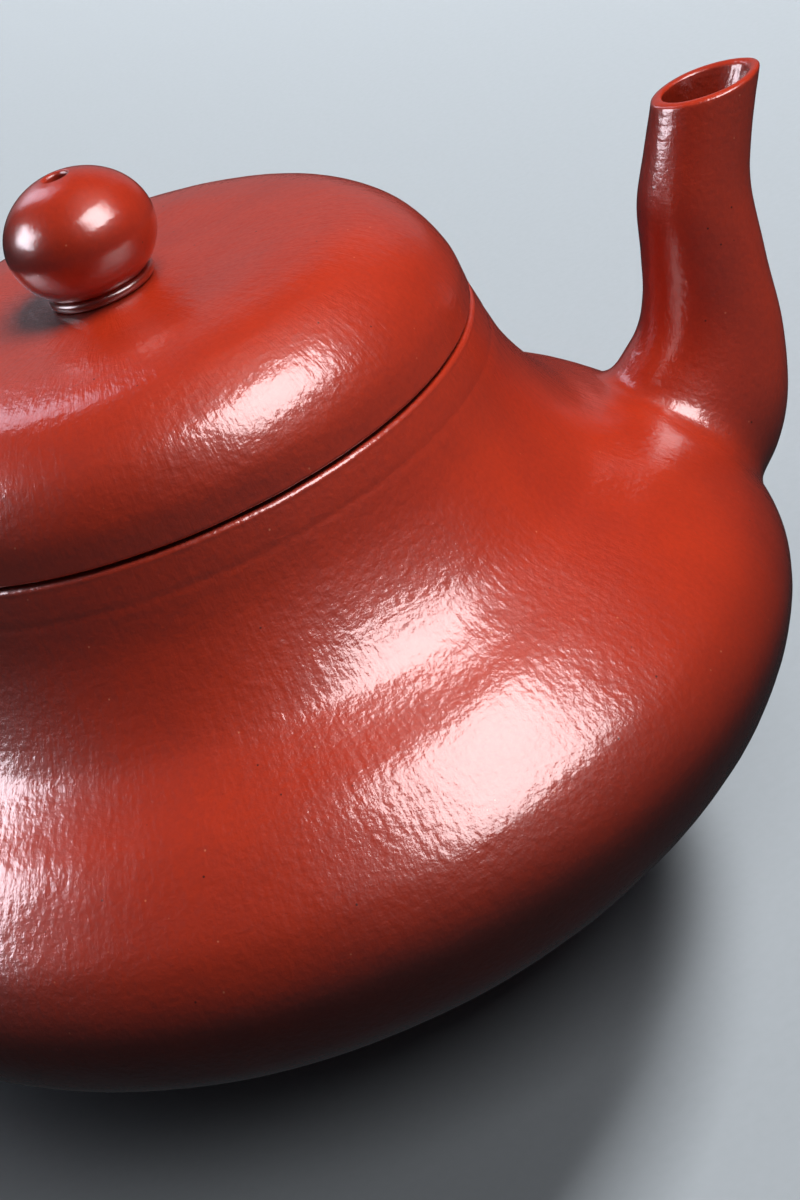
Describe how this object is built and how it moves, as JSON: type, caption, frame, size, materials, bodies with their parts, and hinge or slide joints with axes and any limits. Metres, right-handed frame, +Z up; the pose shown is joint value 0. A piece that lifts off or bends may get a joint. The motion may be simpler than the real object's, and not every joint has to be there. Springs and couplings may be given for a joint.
{
  "type": "yixing clay teapot",
  "caption": "Low round unglazed red clay teapot with concave shoulder, tall curved spout, ear handle and a domed lift-off lid with a ball knob.",
  "frame": {"origin": "centre of the foot ring, on the surface that the pot stands on, on the axis that the pot and lid turn about", "axes": "+X towards the spout, -X towards the handle, +Z up through the knob"},
  "size_m": [0.1406, 0.1104, 0.0818],
  "materials": {
    "clay_burnished": "burnished unglazed red clay, satin gloss",
    "clay_unburnished": "unglazed red clay left dull inside",
    "clay_polished": "red clay polished by handling"
  },
  "bodies": {
    "pot": {"base_slab": "clay_unburnished", "foot_ring": "clay_burnished", "belly_wall": "clay_burnished", "shoulder_slab": "clay_burnished", "neck_ring": "clay_burnished", "mouth_rim": "clay_burnished", "spout": "clay_burnished", "spout_strainer": "clay_unburnished", "handle": "clay_burnished"},
    "lid": {"lid_plate": "clay_burnished", "lid_dome": "clay_burnished", "lid_flange": "clay_unburnished", "knob": "clay_polished"}
  },
  "joints": [
    {"name": "lid_lift", "type": "slide", "parent": "pot", "child": "lid", "axis": [0, 0, 1], "range_m": [0, 0.07]}
  ]
}
